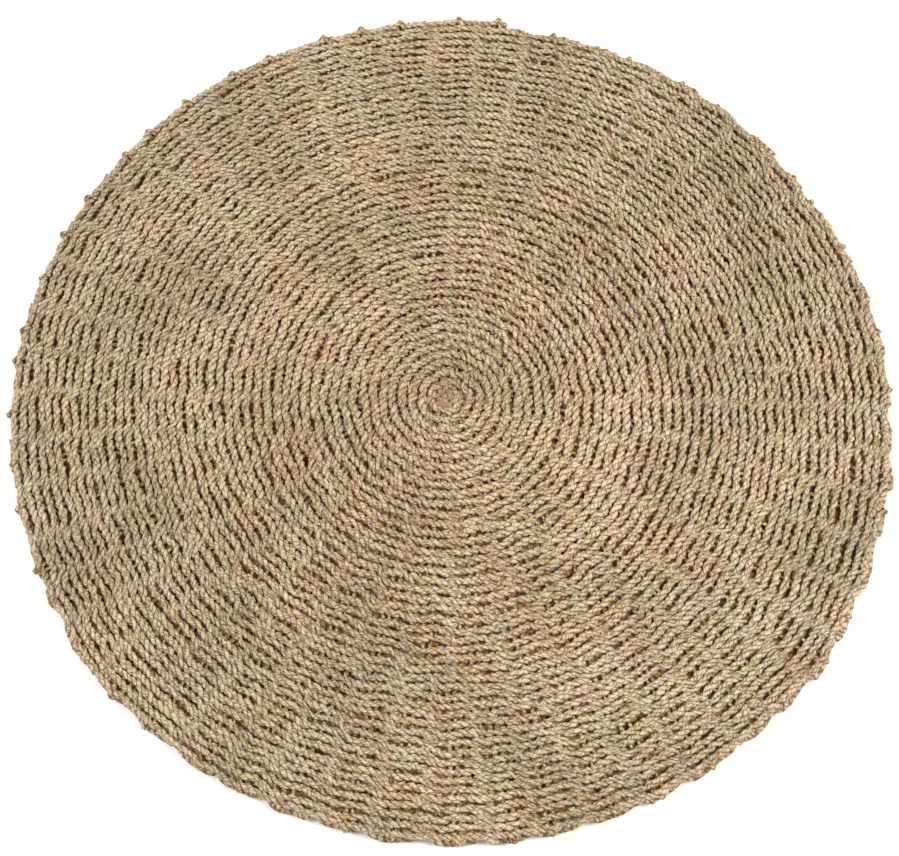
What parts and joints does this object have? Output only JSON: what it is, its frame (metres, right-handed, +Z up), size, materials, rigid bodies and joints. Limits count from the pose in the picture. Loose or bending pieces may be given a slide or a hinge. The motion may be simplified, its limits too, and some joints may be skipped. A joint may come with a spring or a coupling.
{
  "type": "round seagrass rug",
  "caption": "Round flat rug twined from natural seagrass cord over radial spokes, for laying on a floor.",
  "frame": {"origin": "centre of the rug's underside, on the floor, at the middle of its outline's box", "axes": "+Z up out of the rug's face; +X and +Y lie in the floor; the last round of weft ends near +Y"},
  "size_m": [1.0006, 1.0056, 0.014],
  "materials": {
    "seagrass": "matt, dry twisted two-ply seagrass cord, natural beige-brown with olive, golden and pinkish strands"
  },
  "bodies": {
    "root": {"mat": "seagrass"}
  },
  "joints": []
}
